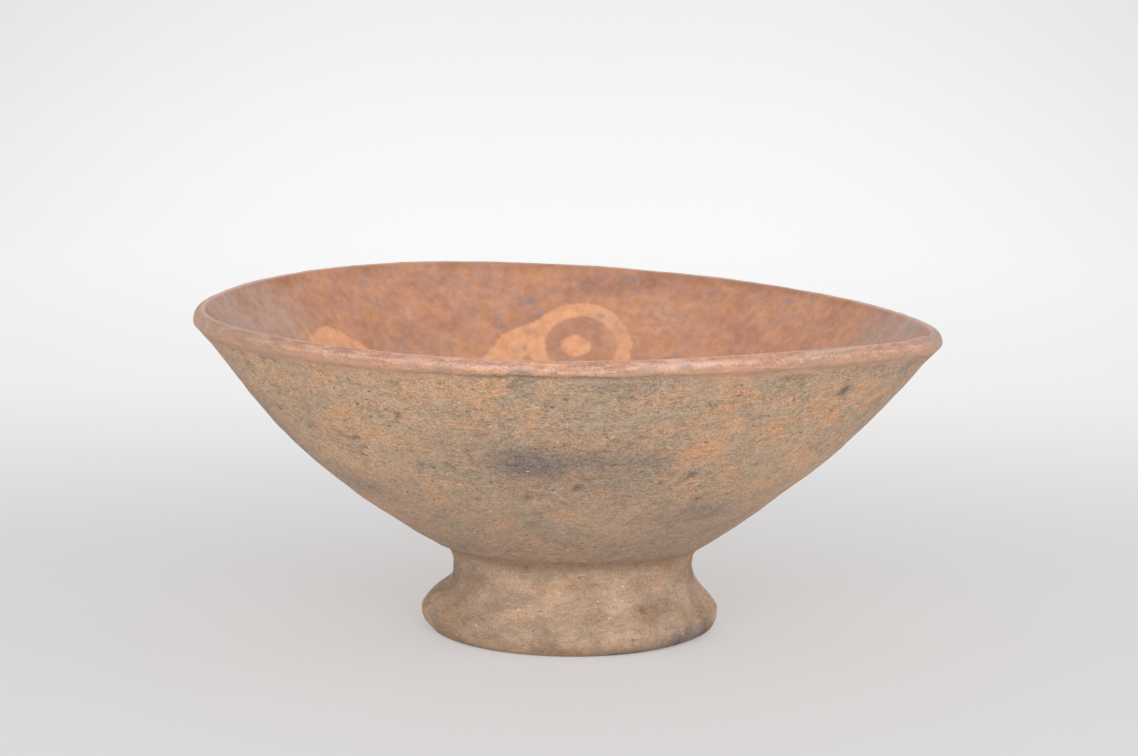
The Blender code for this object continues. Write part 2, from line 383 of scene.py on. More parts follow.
# The three entries a few millimetres below the crest on the outside are painted highlights on the lip;
# the others are rubbed slip inside.
RUBBED_AND_HIGHLIT = ((72.5, -18, 10, 12, 0.60), (123.2, -20.5, 1.6, 9, 0.80), (114, -12, 14, 8, 0.30),
          (-80, -30, 20, 14, 0.40), (40, -26, 46, 26, 0.22), (81, -25, 11, 12, 0.45),
          (101.6, -34.2, 4.4, 3.4, 0.55), (-73, 2.8, 22, 1.4, 0.90), (-50, 1.6, 14, 1.2, 0.60),
          (-112, 2.8, 12, 1.4, 0.50))
CUT_UP = ((-92, 16, 38, 14, 1.0), (-58, 14, 32, 14, 0.8), (-116, 14, 26, 9, 0.7), (-42, 17, 10, 8, 1.0),
          (-68, 47, 9, 6, 0.8), (-64, 61, 6, 5, 0.8), (-100, 48, 18, 8, 0.5), (100, 16, 60, 16, 0.8))
DEPOSITS = ((98.8, -14.8, 5.5, 4.2, 1.0), (96.4, -19.1, 2.8, 3.0, 0.9), (104.8, -21.5, 2.2, 4.0, 0.9),
            (104.3, -25.0, 2.8, 2.5, 0.8), (130.5, -7.2, 4.0, 2.5, 0.8), (129.1, -14.5, 2.8, 3.4, 0.8),
            (127.2, -28.5, 3.4, 3.0, 0.8), (116.8, -30.8, 4.0, 2.6, 0.9), (137.0, -24.2, 3.0, 2.0, 0.6),
            (106.2, -4.7, 5.0, 2.0, 0.7), (85.4, -5.6, 3.6, 2.4, 0.7), (80.1, -4.6, 7.5, 2.0, 0.9),
            (77.7, -9.4, 2.6, 2.6, 0.8), (84.2, -19.5, 3.4, 2.4, 0.8), (66.5, -33.0, 3.4, 3.0, 0.9),
            (62.5, -7.0, 9.0, 2.6, 0.7), (47.0, -6.0, 9.0, 2.6, 0.6), (100.0, -33.0, 1.6, 3.0, 0.7))


def soft_area(degrees, from_lip, half_width, half_height, strength):
    """Strength of one elliptic area at every point, fading smoothly to nothing at its edge."""
    turn = np.angle(np.exp(1j * (azimuth - math.radians(degrees))))
    out = np.hypot(turn * distance_out / half_width, (crest_gap - from_lip / 1000) / half_height) * 1000
    share = np.clip((1 - out) / 0.85, 0, 1)
    return strength * share * share * (3 - 2 * share)


for name, areas in (("smoke_and_shade", SMOKE_AND_SHADE), ("reddened", REDDENED), ("film", GREY_FILM),
                    ("rubbed_and_highlit", RUBBED_AND_HIGHLIT), ("cut_up", CUT_UP), ("deposit", DEPOSITS)):
    strongest = np.max([soft_area(*area) for area in areas], axis=0)
    write_marks(bowl.data, name, strongest)
    print(name, "on", round(float((strongest > 0.1).mean()), 3), "of the points")

# %% [markdown]
# ## Pushing the bowl out of true
#
# No coil-built rim dries level. The lip here stands highest at the left, sinks towards the right
# and waves a little, and the whole wall leans by a millimetre. Each point is moved by the same
# few waves as the solid, so that the fine body lies in the solid's own skin.

# %% Unevenness of the whole form
LIP_RISES = ((1, -0.00274, -0.00014), (2, -0.00121, -0.00125),
             (3, -0.00015, -0.00045), (4, -0.00045, 0.00011))
RIM_SPREADS = ((1, -0.00108, 0.00014), (2, 0.00010, 0.00009))
UNEVEN_EASE = 1.6
WALL_HEIGHT = RIM_HEIGHT - JOINT_HEIGHT
LEANS = ((0.0, 0.0), (NECK_HEIGHT, 0.0010), (JOINT_HEIGHT + WALL_HEIGHT / 3, -0.0012),
         (JOINT_HEIGHT + WALL_HEIGHT * 2 / 3, -0.0003), (RIM_HEIGHT, 0.0))


def waves(parts, angle):
    return sum(c * np.cos(n * angle) + s * np.sin(n * angle) for n, c, s in parts)


def lean(height):
    """Sideways lean at a height, eased between its named places."""
    result = np.zeros_like(height)
    for (z0, x0), (z1, x1) in zip(LEANS, LEANS[1:]):
        share = np.clip((height - z0) / (z1 - z0), 0, 1)
        result += (x1 - x0) * share * share * (3 - 2 * share)
    return result


x, y, z = points.T
angle, radius = np.arctan2(y, x), np.hypot(x, y)
share = np.clip((z - JOINT_HEIGHT) / WALL_HEIGHT, 0, 1) ** UNEVEN_EASE
share *= np.clip(radius / NECK_RADIUS, 0, 1)
radius = radius + share * waves(RIM_SPREADS, angle)
points = np.stack((radius * np.cos(angle) + lean(z), radius * np.sin(angle),
                   z + share * waves(LIP_RISES, angle)), axis=1)
middle = (points.min(axis=0) + points.max(axis=0)) / 2
solid_middle = (low_corner + high_corner) / 2
points -= (middle[0] - solid_middle.x, middle[1] - solid_middle.y, points[:, 2].min())
write_points(bowl.data, points)
print("fine body reaches in mm:", (np.ptp(points, axis=0) * 1000).round(1))

# %% [markdown]
# ## Marks of the hand
#
# The outside was wiped with something coarse while it was leather hard, which left shallow
# dents and nearly level ridges. The inside and the lip were rubbed smoother. Noise that is
# squeezed in height gives the ridges, round noise gives the dents, and a few named swellings
# and hollows stand where fingers pressed the wall and the foot. In front, a groove was wiped
# under the lip. Elsewhere the clay was smeared into that corner and softens it. All of it fades
# out at the standing ring, which has to stay flat. Each point moves along its own normal.

# %% Dents, swellings and wiping ridges
DENT_SIZE = 0.024
DENT_DEPTH = 0.00025
RIDGE_LENGTH = 0.020
RIDGE_SPACING = 0.0030
RIDGE_DEPTH = 0.00010
LUMP_SIZE = 0.0060
LUMP_DEPTH = 0.00012
SMOOTH_INSIDE = 0.45          # share of the relief that is left on the rubbed inside
GROOVE_PLACE = 0.0062         # metres from the crest to the wiped groove under the lip
GROOVE_WIDTH = 0.0013
GROOVE_DEPTH = 0.00040
GROOVE_MIDDLE = -92.0         # degrees round; the groove is left only near here
GROOVE_REACH = 22.0
GROOVE_FADE = 12.0
GROOVE_GAPS = 0.012           # size of the noise that breaks the groove up
FLAT_BELOW = 0.0003           # the standing ring, up to this height, isn't moved
FLAT_FADE = 0.0015
FILLET_PLACE = 0.0061         # clay smeared into the corner under the lip everywhere else
FILLET_ABOVE = 0.0012         # how far the smear reaches up the lip and down the wall
FILLET_BELOW = 0.0038
FILLET_HEIGHT = 0.00060
# Each swelling: degrees round, millimetres from the crest, half width, half height; metres out.
SWELLINGS = ((-155, 43, 50, 26, 0.0007), (-25, 56, 50, 16, 0.0005), (-170, 115.5, 24, 5, -0.0012),
             (-178, 121.5, 24, 5, 0.0007), (-168, 132.5, 26, 3.5, -0.0005),
             (-174, 127.5, 26, 3.5, 0.0005), (-62, 131.5, 20, 4, 0.0005), (-90, 103.5, 58, 8, -0.0012),
             (-150, 103.5, 24, 6, -0.0006), (-25, 129, 30, 7, 0.0009), (-22, 3, 16, 6, 0.0008),
             (-62, 26, 9, 5, -0.0004), (-128, 40, 14, 9, -0.0003))
# Each pit: degrees round, millimetres from the crest, radius; metres in.
PITS = ((-65.6, 47.8, 2.2, 0.0009), (-60.0, 60.7, 1.8, 0.0007),
        (-42.8, 17.1, 2.6, 0.0006), (-118.0, 24.0, 1.9, 0.0005), (-98.0, 57.0, 2.2, 0.0004),
        (-88.0, 52.0, 2.4, 0.0004), (-130.0, 36.0, 1.9, 0.0005), (140.0, 40.0, 2.4, 0.0008),
        (40.0, 30.0, 2.2, 0.0008), (80.0, 62.0, 2.6, 0.0007), (-58.0, 118.0, 1.9, 0.0004))


def read_normals(mesh):
    normals = np.empty(len(mesh.vertices) * 3, dtype=np.float32)
    mesh.vertices.foreach_get("normal", normals)
    return normals.reshape(-1, 3).astype(float)


def lumps(places, size):
    """Smooth noise between about -1 and 1 at many places, with lumps of a given size."""
    return np.array([noise.noise(Vector(place)) for place in places / size])


normals = read_normals(bowl.data)
squeezed = points * (1 / RIDGE_LENGTH, 1 / RIDGE_LENGTH, 1 / RIDGE_SPACING)
relief = DENT_DEPTH * lumps(points, DENT_SIZE) + LUMP_DEPTH * lumps(points, LUMP_SIZE)
relief += RIDGE_DEPTH * lumps(squeezed, 1.0)
relief *= np.where(crest_gap < 0, SMOOTH_INSIDE, 1.0)
from_groove = np.abs(np.angle(np.exp(1j * (azimuth - math.radians(GROOVE_MIDDLE)))))
grooved = np.clip((math.radians(GROOVE_REACH) - from_groove) / math.radians(GROOVE_FADE), 0, 1)
grooved *= np.clip(0.9 + 0.8 * lumps(points, GROOVE_GAPS), 0, 1)
write_marks(bowl.data, "grooved", grooved)
under_lip = np.exp(-((crest_gap - GROOVE_PLACE) / GROOVE_WIDTH) ** 2)
relief -= under_lip * GROOVE_DEPTH * grooved
fillet_reach = np.where(crest_gap < FILLET_PLACE, FILLET_ABOVE, FILLET_BELOW)
fillet = np.exp(-((crest_gap - FILLET_PLACE) / fillet_reach) ** 2)
relief += fillet * FILLET_HEIGHT * (1 - grooved)
for *area, height in SWELLINGS:
    relief += soft_area(*area, height)
pitted = np.zeros(len(points))
for degrees, from_lip, pit_radius, depth in PITS:
    pit = soft_area(degrees, from_lip, pit_radius, pit_radius, 1.0)
    relief -= depth * pit
    pitted = np.maximum(pitted, pit)
write_marks(bowl.data, "pitted", pitted)
relief *= np.clip((points[:, 2] - FLAT_BELOW) / FLAT_FADE, 0, 1)
points += normals * relief[:, None]
write_points(bowl.data, points)
print("relief from", (relief.min() * 1000).round(2), "to", (relief.max() * 1000).round(2), "mm")

# %% [markdown]
# ## Fired clay, slip and paint in one material
#
# The bowl is one piece of clay, and its colours run into each other, so it has one material. The
# graph is built from small helpers: a noise of a given real size, a soft step between two values,
# a mix of two colours. Sizes are in metres of the bowl itself, through Object coordinates, so
# nothing slides when the view changes.

# %% Helpers for the material


def colour(red, green, blue):
    """A colour given as the 0 to 255 numbers of a screen, turned into light."""
    values = [c / 255 for c in (red, green, blue)]
    return tuple(v / 12.92 if v <= 0.04045 else ((v + 0.055) / 1.055) ** 2.4 for v in values) + (1.0,)


def add(tree, kind, sockets=None, **settings):
    """Adds a shader node and fills its sockets with numbers, colours or other nodes' outputs."""
    new = tree.nodes.new("ShaderNode" + kind)
    for name, value in settings.items():
        setattr(new, name, value)
    for name, value in (sockets or {}).items():
        if isinstance(value, bpy.types.NodeSocket):
            tree.links.new(value, new.inputs[name])
        else:
            new.inputs[name].default_value = value
    return new


def maths(tree, operation, first, second=0.0):
    return add(tree, "Math", {0: first, 1: second}, operation=operation).outputs[0]


def times(tree, first, second):
    return maths(tree, "MULTIPLY", first, second)


def soft_step(tree, value, start, end, low=0.0, high=1.0):
    """Goes smoothly from low to high while the value goes from start to end."""
    sockets = {"Value": value, "From Min": start, "From Max": end, "To Min": low, "To Max": high}
    return add(tree, "MapRange", sockets, interpolation_type="SMOOTHSTEP").outputs[0]


def near(tree, value, middle, half_width):
    """1 where a value is at the middle, 0 where it is half_width or more away."""
    away = maths(tree, "ABSOLUTE", maths(tree, "SUBTRACT", value, middle))
    return soft_step(tree, away, half_width, half_width * 0.2)


def between(tree, share, low, high):
    """A number that is low where the share is 0 and high where it is 1."""
    return add(tree, "Mix", {0: share, 2: low, 3: high}, data_type="FLOAT").outputs[0]


def most(tree, first, *others):
    """The largest of several numbers."""
    for other in others:
        first = maths(tree, "MAXIMUM", first, other)
    return first


def mixed(tree, share, below, above):
    new = add(tree, "Mix", {0: share, 6: below, 7: above}, data_type="RGBA")
    return new.outputs[2]


def toned(tree, colour_in, change):
    """Makes a colour lighter or darker by a share, half of it as a grey veil, as dust does; it also
    paints shade and light.
    """
    scale = maths(tree, "ADD", times(tree, change, 0.6), 1.0)
    scaled = add(tree, "VectorMath", {0: colour_in, "Scale": scale}, operation="SCALE")
    return add(tree, "VectorMath", {0: scaled.outputs[0], 1: times(tree, change, 0.11)},
               operation="ADD").outputs[0]


def moved(tree, place, shift=(0, 0, 0), stretch=(1, 1, 1)):
    return add(tree, "Mapping", {"Vector": place, "Location": shift, "Scale": stretch}).outputs[0]


def cloudy(tree, place, size, detail=3.0, roughness=0.5):
    """Three unlike cloudy patterns, with clouds of about a given size in metres."""
    sockets = {"Vector": place, "Scale": 1 / size, "Detail": detail, "Roughness": roughness}
    clouds = add(tree, "TexNoise", sockets)
    return add(tree, "SeparateColor", {0: clouds.outputs["Color"]}).outputs


def bent(tree, place, size, reach):
    """Places pushed about by a cloudy pattern, so that what is drawn on them wavers."""
    clouds = add(tree, "TexNoise", {"Vector": place, "Scale": 1 / size, "Detail": 2.0})
    push = add(tree, "VectorMath", {0: clouds.outputs["Color"], 1: (0.5, 0.5, 0.5)}, operation="SUBTRACT")
    push = add(tree, "VectorMath", {0: push.outputs[0], "Scale": reach}, operation="SCALE")
    return add(tree, "VectorMath", {0: place, 1: push.outputs[0]}, operation="ADD").outputs[0]


def spots(tree, place, spacing, reach, share):
    """Round spots: one to a cell of a given spacing, kept in a share of the cells."""
    cells = add(tree, "TexVoronoi", {"Vector": place, "Scale": 1 / spacing})
    chosen = add(tree, "SeparateColor", {0: cells.outputs["Color"]}).outputs[0]
    spot = soft_step(tree, cells.outputs["Distance"], reach, reach * 0.45)
    return times(tree, spot, soft_step(tree, chosen, share, share - 0.08))


# %% [markdown]
# ### Bare clay outside
#
# Low firing in the open leaves a tan ground that turns orange where air reached it and grey where
# smoke did. The lower belly, which faces the floor, is greyed a little more as painted shade. The
# colours change slowly, over centimetres. What changes over millimetres is how light the clay is,
# because its grain, its wiping streaks and its pits catch dirt. So hue comes from large clouds and
# lightness from small ones: level dashes, round grain, dark pits and pale grits. Where coarse grit
# was dragged along, short dark cuts and pale scores lie on top. The foot is evener and greyer. Its
# neck, in the crease under the bowl, and its lowest edge, which rounds under towards the floor, are
# darkened as painted shade.

# %% Bare clay
TAN = colour(199, 166, 137)
GREY_TAN = colour(183, 158, 133)
ORANGE_TAN = colour(218, 165, 123)
RED_TAN = colour(208, 156, 126)
OLIVE_GREY = colour(156, 141, 121)
SMOKE_GREY = colour(124, 113, 108)
FOOT_TAN = colour(173, 149, 128)
PIT_DARK = colour(104, 82, 62)
GRIT_PALE = colour(236, 218, 190)
CLAY_CLOUDS = 0.036           # sizes of the noises, and spacings of the spots, in metres
CLAY_HUES = 0.0105
CLAY_FLECKS = 0.0034
CLAY_DASHES = 0.0022
CLAY_GRAIN = 0.00062
PIT_SPACING = 0.0040
CUT_SPACING = 0.0028
SCORE_SPACING = 0.0034
GRIT_SPACING = 0.0030


def marked(tree, name):
    """The number that the mesh carries under a name."""
    return add(tree, "Attribute", attribute_name=name).outputs["Fac"]


def bare_clay(tree, place, gap):
    wavy = bent(tree, place, 0.016, 0.005)
    level = moved(tree, wavy, (0.3, 0.1, 0.7), (1, 1, 1.6))
    broad = cloudy(tree, moved(tree, place, (0.11, 0.2, 0.3)), CLAY_CLOUDS, 2.0)
    hue = cloudy(tree, level, CLAY_HUES, 2.0, 0.5)
    fleck = cloudy(tree, level, CLAY_FLECKS, 3.0, 0.6)
    curly = bent(tree, wavy, 0.0016, 0.0011)
    dash = cloudy(tree, moved(tree, curly, (0.9, 0.4, 0.2), (1, 1, 2.4)), CLAY_DASHES, 3.0, 0.65)
    grain = cloudy(tree, moved(tree, place, (0.5, 0.7, 0.1), (1, 1, 1.4)), CLAY_GRAIN, 2.0, 0.7)

    ground = mixed(tree, soft_step(tree, broad[0], 0.36, 0.62), GREY_TAN, TAN)
    ground = mixed(tree, soft_step(tree, gap, 0.100, 0.114, 0.0, 0.88), ground, FOOT_TAN)
    airy = maths(tree, "ADD", soft_step(tree, broad[1], 0.38, 0.66, 0.20, 0.54),
                 marked(tree, "reddened"))
    orange = times(tree, soft_step(tree, hue[0], 0.40, 0.64), airy)
    on_bowl = soft_step(tree, gap, 0.112, 0.098)
    orange = maths(tree, "MINIMUM", orange, 0.85)
    orange = times(tree, orange, soft_step(tree, on_bowl, 0.0, 1.0, 0.45, 1.0))
    ground = mixed(tree, orange, ground, ORANGE_TAN)
    redder = soft_step(tree, hue[1], 0.54, 0.70)
    redder = times(tree, redder, soft_step(tree, on_bowl, 0.0, 1.0, 0.12, 0.32))
    ground = mixed(tree, redder, ground, RED_TAN)
    dull = times(tree, soft_step(tree, hue[2], 0.46, 0.66), soft_step(tree, fleck[0], 0.40, 0.60))
    dull = times(tree, dull, soft_step(tree, on_bowl, 0.0, 1.0, 0.25, 0.62))
    ground = mixed(tree, dull, ground, OLIVE_GREY)
    # Painted shade: the lower belly greys towards the foot, together with the smoke.
    low_belly_shade = soft_step(tree, gap, 0.050, 0.095, 0.0, 0.38)
    low_belly_shade = times(tree, low_belly_shade, soft_step(tree, gap, 0.112, 0.100))
    smoke_and_shade = most(tree, marked(tree, "smoke_and_shade"), low_belly_shade)
    smoke_and_shade = times(tree, smoke_and_shade, soft_step(tree, fleck[1], 0.25, 0.60, 0.60, 1.0))
    ground = mixed(tree, smoke_and_shade, ground, SMOKE_GREY)

    coarse = soft_step(tree, gap, 0.045, 0.075, 1.0, 0.70)
    coarse = times(tree, coarse, soft_step(tree, gap, 0.100, 0.112, 1.0, 0.90))
    change = maths(tree, "ADD", soft_step(tree, dash[0], 0.30, 0.70, -0.18, 0.16),
                   soft_step(tree, grain[0], 0.28, 0.72, -0.34, 0.30))
    change = maths(tree, "ADD", change, soft_step(tree, fleck[2], 0.30, 0.70, -0.07, 0.06))
    ground = toned(tree, ground, times(tree, change, coarse))
    nicks = times(tree, soft_step(tree, dash[1], 0.61, 0.70), soft_step(tree, grain[1], 0.40, 0.60))
    pits = spots(tree, moved(tree, wavy, (0.2, 0, 0), (1, 1, 1.7)), PIT_SPACING, 0.20, 0.24)
    cut_up = most(tree, marked(tree, "cut_up"), soft_step(tree, gap, 0.055, 0.034, 0.0, 0.3))
    torn = bent(tree, wavy, 0.0032, 0.0012)
    cuts = spots(tree, moved(tree, torn, (0.35, 0.6, 0.15), (1, 1, 3.2)), CUT_SPACING, 0.26, 0.42)
    cuts = times(tree, times(tree, cuts, cut_up), soft_step(tree, hue[2], 0.42, 0.54, 0.3, 1.0))
    scores = moved(tree, torn, (0.75, 0.15, 0.55), (1, 1, 4.5))
    scores = spots(tree, scores, SCORE_SPACING, 0.26, 0.45)
    scores = times(tree, times(tree, scores, cut_up), soft_step(tree, hue[1], 0.42, 0.54, 0.3, 1.0))
    dark = most(tree, nicks, pits, cuts, marked(tree, "pitted"))
    glints = times(tree, soft_step(tree, dash[2], 0.62, 0.72), soft_step(tree, grain[2], 0.45, 0.65))
    grits = spots(tree, moved(tree, wavy, (0.8, 0, 0), (1, 1, 1.5)), GRIT_SPACING, 0.20, 0.13)
    dark = times(tree, dark, coarse)
    ground = mixed(tree, times(tree, dark, 0.78), ground, PIT_DARK)
    pale = most(tree, glints, scores, grits)
    ground = mixed(tree, times(tree, pale, 0.60), ground, GRIT_PALE)
    # Painted shade: the foot's lowest edge, rounding under to the floor, is darker.
    ground = toned(tree, ground, soft_step(tree, gap, 0.123, 0.133, 0.0, -0.30))
    # Painted shade: the crease between bowl and foot, with the neck below it and the belly just above, is
    # darker.
    ground = toned(tree, ground, times(tree, near(tree, gap, 0.107, 0.010), -0.16))
    patchy = maths(tree, "ADD", soft_step(tree, broad[2], 0.36, 0.62, -0.10, 0.14),
                   soft_step(tree, hue[1], 0.36, 0.64, -0.14, 0.14))
    ground = toned(tree, ground, times(tree, patchy, soft_step(tree, on_bowl, 1.0, 0.0)))
    height = maths(tree, "ADD", times(tree, dash[0], 0.26), times(tree, grain[0], 0.20))
    height = times(tree, height, coarse)
    height = maths(tree, "SUBTRACT", height, times(tree, dark, 0.16))
    return ground, height


# %% [markdown]
# ### Red slip and paint inside
#
# A thin red-brown slip covers the inside and the lip. It is worn and cloudy, going from orange to
# a greyish lilac of about the same lightness, with brown smudges under the far rim, and the ground
# water left small blue-grey deposits on it. The painted circles are a lighter orange.

# %% Slip, paint and deposits
SLIP_ORANGE = colour(206, 149, 112)
SLIP_LILAC = colour(194, 145, 121)
SLIP_BROWN = colour(182, 130, 107)
SLIP_PINK = colour(210, 162, 138)
SLIP_DARK = colour(158, 118, 102)
PAINT = colour(234, 172, 130)
DEPOSIT = colour(150, 136, 134)
FILM = colour(194, 174, 164)
SLIP_CLOUDS = 0.022
SLIP_MOTTLE = 0.0062
SLIP_SPECKS = 0.0026
PAINT_WAVER = 0.0018          # metres by which the painted edge wanders
PAINT_EDGE = 0.0007


def slip_and_paint(tree, place, gap):
    wavy = bent(tree, place, 0.012, 0.005)
    broad = cloudy(tree, moved(tree, wavy, (0.5, 0.3, 0.1)), SLIP_CLOUDS, 3.0)
    mottle = cloudy(tree, moved(tree, wavy, (0.1, 0.8, 0.4)), SLIP_MOTTLE, 3.0, 0.55)
    speck = cloudy(tree, moved(tree, place, (0.6, 0.2, 0.4)), SLIP_SPECKS, 3.0, 0.6)
    ground = mixed(tree, soft_step(tree, mottle[0], 0.38, 0.62), SLIP_LILAC, SLIP_ORANGE)
    ground = mixed(tree, soft_step(tree, broad[0], 0.56, 0.38, 0.0, 0.45), ground, SLIP_BROWN)
    ground = mixed(tree, times(tree, soft_step(tree, broad[2], 0.48, 0.68), 0.32), ground, SLIP_PINK)
    dark = times(tree, marked(tree, "smoke_and_shade"), soft_step(tree, mottle[2], 0.32, 0.60, 0.3, 0.9))
    ground = mixed(tree, dark, ground, SLIP_DARK)
    waver = times(tree, maths(tree, "SUBTRACT", mottle[1], 0.5), PAINT_WAVER)
    painted = maths(tree, "ADD", marked(tree, "paint"), waver)
    painted = soft_step(tree, painted, -PAINT_EDGE, PAINT_EDGE)
    worn = soft_step(tree, mottle[2], 0.30, 0.46, 0.60, 0.95)
    ground = mixed(tree, times(tree, painted, worn), ground, PAINT)
    film = times(tree, marked(tree, "film"), soft_step(tree, broad[1], 0.32, 0.58, 0.5, 1.0))
    ground = mixed(tree, film, ground, FILM)
    rubbed_and_highlit = times(tree, marked(tree, "rubbed_and_highlit"), soft_step(tree, speck[0], 0.35, 0.60, 0.4, 1.0))
    ground = mixed(tree, rubbed_and_highlit, ground, SLIP_PINK)
    rim_shade = times(tree, soft_step(tree, gap, -0.0055, -0.0020), soft_step(tree, broad[1], 0.35, 0.6))
    rim_shade = times(tree, rim_shade, soft_step(tree, marked(tree, "film"), 0.4, 0.1))
    ground = toned(tree, ground, times(tree, rim_shade, -0.20))
    blotch = times(tree, soft_step(tree, broad[2], 0.40, 0.56), soft_step(tree, speck[1], 0.58, 0.70))
    deposit = times(tree, marked(tree, "deposit"), soft_step(tree, speck[2], 0.34, 0.58, 0.3, 1.0))
    blotch = most(tree, times(tree, blotch, 0.45), soft_step(tree, deposit, 0.05, 0.95))
    ground = mixed(tree, times(tree, blotch, 0.72), ground, DEPOSIT)
    change = maths(tree, "ADD", soft_step(tree, speck[0], 0.30, 0.70, -0.09, 0.09),
                   soft_step(tree, mottle[1], 0.35, 0.65, -0.07, 0.07))
    ground = toned(tree, ground, change)
    return ground, times(tree, mottle[0], 0.05)


# %% [markdown]
# ### The lip
#
# The slip on the lip is thicker, pinker and rubbed to a low shine, with level streaks of bright
# orange, pale pink and dull olive. A pale painted highlight runs along the crest and another along
# the shoulder below it, a few pale patches on its front are painted highlights too, and its upper
# part is painted a little lighter where it faces up. Under the shoulder it is crumbly, with pale,
# orange and dark grains, and its lower edge is ragged where the wiping of the wall cut into it. In
# front the groove under it is painted a darker brown, as painted shade. Elsewhere there is no
# groove, and the slip thins out down the wall instead.

# %% Lip
LIP_PINK = colour(202, 152, 131)
LIP_ORANGE = colour(208, 154, 121)
LIP_BROWN = colour(168, 120, 98)
# Pale colour of the lip's worn streaks and of its painted highlights.
LIP_WEAR_AND_HIGHLIGHT = colour(227, 187, 168)
LIP_BRIGHT = colour(226, 163, 120)
LIP_CRACK = colour(116, 92, 76)
LIP_OLIVE = colour(158, 140, 120)
# Painted shade for the groove under the lip in front.
GROOVE_SHADE = colour(150, 116, 92)
THIN_SLIP = colour(190, 146, 120)
LIP_EDGE = 0.0044             # metres of slip over the lip, measured from the crest
SHOULDER = 0.0030             # metres from the crest to the lip's shoulder, where a highlight is painted
LIP_MOTTLE = 0.0052
LIP_CRUMBS = 0.00065
LIP_STREAKS = 0.0060
THIN_PLACE = 0.0058           # metres from the crest to the middle of the thin slip and of the painted shade in the groove


def lip_slip(tree, place, gap):
    mottle = cloudy(tree, moved(tree, place, (0.3, 0.6, 0.2)), LIP_MOTTLE, 3.0, 0.6)
    crumb = cloudy(tree, moved(tree, place, (0.7, 0.1, 0.5), (1, 1, 1.3)), LIP_CRUMBS, 3.0, 0.7)
    low = soft_step(tree, gap, 0.0022, 0.0042)
    warm = maths(tree, "ADD", soft_step(tree, mottle[0], 0.40, 0.60, 0.0, 0.9), times(tree, low, 0.5))
    ground = mixed(tree, maths(tree, "MINIMUM", warm, 1.0), LIP_PINK, LIP_ORANGE)
    stain = times(tree, soft_step(tree, mottle[1], 0.46, 0.62), soft_step(tree, gap, 0.0044, 0.0020))
    ground = mixed(tree, times(tree, stain, 0.32), ground, LIP_BROWN)
    streak = cloudy(tree, moved(tree, place, (0.2, 0.5, 0.9), (1, 1, 7.0)), LIP_STREAKS, 3.0, 0.6)
    ground = mixed(tree, times(tree, soft_step(tree, streak[1], 0.55, 0.68), 0.50), ground, LIP_WEAR_AND_HIGHLIGHT)
    ground = mixed(tree, times(tree, soft_step(tree, streak[2], 0.53, 0.66), 0.75), ground, LIP_OLIVE)
    bright = times(tree, soft_step(tree, streak[0], 0.54, 0.64), soft_step(tree, mottle[0], 0.42, 0.56))
    ground = mixed(tree, times(tree, bright, 0.75), ground, LIP_BRIGHT)
    ground = toned(tree, ground, soft_step(tree, streak[0], 0.34, 0.66, -0.18, 0.18))
    # Painted light: the upper part of the lip, which faces up, is painted a little lighter.
    ground = toned(tree, ground, times(tree, near(tree, gap, 0.0012, 0.0016), 0.08))
    # Painted highlights: a pale line along the crest, a pale band along the shoulder and the pale patches
    # marked on the front of the lip.
    crest = near(tree, gap, -0.0004, 0.0014)
    crest = times(tree, crest, soft_step(tree, mottle[1], 0.30, 0.55, 0.35, 0.85))
    shoulder_highlight = near(tree, gap, SHOULDER, 0.0009)
    shoulder_highlight = times(tree, shoulder_highlight, soft_step(tree, crumb[2], 0.40, 0.56, 0.15, 0.8))
    shoulder_highlight = times(tree, shoulder_highlight, soft_step(tree, mottle[2], 0.40, 0.60, 0.0, 0.9))
    ground = mixed(tree, most(tree, crest, shoulder_highlight, marked(tree, "rubbed_and_highlit")), ground, LIP_WEAR_AND_HIGHLIGHT)
    crumbly = times(tree, low, soft_step(tree, mottle[1], 0.40, 0.62, 0.25, 1.0))
    grainy = soft_step(tree, crumb[0], 0.30, 0.70, -0.38, 0.32)
    ground = toned(tree, ground, times(tree, grainy, between(tree, crumbly, 0.45, 1.0)))
    cracks = times(tree, crumbly, soft_step(tree, crumb[1], 0.56, 0.66))
    ground = mixed(tree, times(tree, cracks, 0.80), ground, LIP_CRACK)
    dull = times(tree, soft_step(tree, mottle[2], 0.55, 0.65), soft_step(tree, gap, 0.0016, 0.0036))
    dull = most(tree, times(tree, dull, 0.6), times(tree, marked(tree, "smoke_and_shade"), 0.9))
    ground = mixed(tree, dull, ground, LIP_OLIVE)
    return ground, times(tree, times(tree, crumb[0], crumbly), 0.24)


